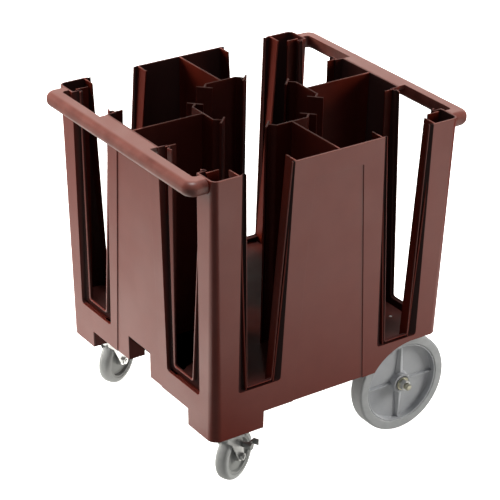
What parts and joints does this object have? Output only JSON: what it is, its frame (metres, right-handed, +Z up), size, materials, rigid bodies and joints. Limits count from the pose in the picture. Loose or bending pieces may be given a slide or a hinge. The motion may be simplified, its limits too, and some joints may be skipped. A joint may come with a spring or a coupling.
{
  "type": "plate dispenser cart",
  "caption": "Open moulded cart with slotted walls and upright guides for stacks of plates, push bars at both ends, large rear wheels and swivel casters with side brakes.",
  "frame": {"origin": "on the floor under the middle of the cart", "axes": "+Z up, -Y towards the caster end, +Y towards the large wheels, +X to the right"},
  "size_m": [0.664, 0.778, 0.822],
  "materials": {
    "body_plastic": "satin moulded dark brown",
    "tyre_grey": "satin grey non-marking rubber",
    "wheel_grey": "satin grey moulding",
    "tread_grey": "matt grey non-marking rubber",
    "core_grey": "satin grey moulding",
    "bush_nylon": "natural nylon",
    "yellow_zinc": "pale yellow zinc plate",
    "zinc_steel": "bright zinc plate",
    "dark_steel": "dark zinc"
  },
  "bodies": {
    "cart": {"axle_bracket_bolts": "zinc_steel", "axle_bracket_left": "zinc_steel", "axle_bracket_right": "zinc_steel", "axle_nuts": "yellow_zinc", "axle_spacers": "zinc_steel", "axle_washers": "yellow_zinc", "base_deck": "body_plastic", "caster_box_left": "body_plastic", "caster_box_right": "body_plastic", "caster_kingpin_left": "zinc_steel", "caster_kingpin_right": "zinc_steel", "caster_plate_bolts": "zinc_steel", "caster_top_plate_left": "zinc_steel", "caster_top_plate_right": "zinc_steel", "centre_guide_front": "body_plastic", "centre_guide_left": "body_plastic", "centre_guide_rear": "body_plastic", "centre_guide_right": "body_plastic", "corner_post_front_left": "body_plastic", "corner_post_front_right": "body_plastic", "corner_post_rear_left": "body_plastic", "corner_post_rear_right": "body_plastic", "divider_web_front": "body_plastic", "divider_web_left": "body_plastic", "divider_web_rear": "body_plastic", "divider_web_right": "body_plastic", "handle_bar_front": "body_plastic", "handle_bar_rear": "body_plastic", "notch_lining": "body_plastic", "rear_axle": "zinc_steel", "side_panel_front": "body_plastic", "side_panel_left": "body_plastic", "side_panel_rear": "body_plastic", "side_panel_right": "body_plastic", "skirt_front": "body_plastic", "skirt_left": "body_plastic", "skirt_rear": "body_plastic", "skirt_right": "body_plastic", "wheel_well_left": "body_plastic", "wheel_well_right": "body_plastic"},
    "rear_wheel_left": {"rear_wheel_tyre_left": "tyre_grey", "rear_wheel_centre_left": "wheel_grey", "rear_wheel_bush_left": "bush_nylon"},
    "caster_fork_left": {"caster_fork_left": "zinc_steel", "caster_axle_bolt_left": "zinc_steel", "caster_brake_bolt_left": "dark_steel"},
    "caster_wheel_left": {"caster_wheel_tread_left": "tread_grey", "caster_wheel_core_left": "core_grey", "caster_wheel_bush_left": "bush_nylon"},
    "caster_brake_left": {"caster_brake_lever_left": "dark_steel"},
    "rear_wheel_right": {"rear_wheel_tyre_right": "tyre_grey", "rear_wheel_centre_right": "wheel_grey", "rear_wheel_bush_right": "bush_nylon"},
    "caster_fork_right": {"caster_fork_right": "zinc_steel", "caster_axle_bolt_right": "zinc_steel", "caster_brake_bolt_right": "dark_steel"},
    "caster_wheel_right": {"caster_wheel_tread_right": "tread_grey", "caster_wheel_core_right": "core_grey", "caster_wheel_bush_right": "bush_nylon"},
    "caster_brake_right": {"caster_brake_lever_right": "dark_steel"}
  },
  "joints": [
    {"name": "rear_wheel_left_spin", "type": "hinge", "parent": "cart", "child": "rear_wheel_left", "pos_m": [-0.2723, 0.2477, 0.127], "axis": [1, 0, 0], "continuous": true},
    {"name": "rear_wheel_right_spin", "type": "hinge", "parent": "cart", "child": "rear_wheel_right", "pos_m": [0.2723, 0.2477, 0.127], "axis": [1, 0, 0], "continuous": true},
    {"name": "caster_left_swivel", "type": "hinge", "parent": "cart", "child": "caster_fork_left", "pos_m": [-0.266, -0.252, 0.147], "axis": [0, 0, 1], "continuous": true},
    {"name": "caster_left_wheel_spin", "type": "hinge", "parent": "caster_fork_left", "child": "caster_wheel_left", "pos_m": [-0.28206, -0.21756, 0.0635], "axis": [0.9063, 0.4226, 0], "continuous": true},
    {"name": "caster_left_brake", "type": "hinge", "parent": "caster_fork_left", "child": "caster_brake_left", "pos_m": [-0.28459, -0.21212, 0.094], "axis": [0.9063, 0.4226, 0], "range_deg": [-55, 0]},
    {"name": "caster_right_swivel", "type": "hinge", "parent": "cart", "child": "caster_fork_right", "pos_m": [0.266, -0.252, 0.147], "axis": [0, 0, 1], "continuous": true},
    {"name": "caster_right_wheel_spin", "type": "hinge", "parent": "caster_fork_right", "child": "caster_wheel_right", "pos_m": [0.25012, -0.21748, 0.0635], "axis": [0.9085, 0.4179, 0], "continuous": true},
    {"name": "caster_right_brake", "type": "hinge", "parent": "caster_fork_right", "child": "caster_brake_right", "pos_m": [0.24761, -0.21203, 0.094], "axis": [0.9085, 0.4179, 0], "range_deg": [-55, 0]}
  ]
}
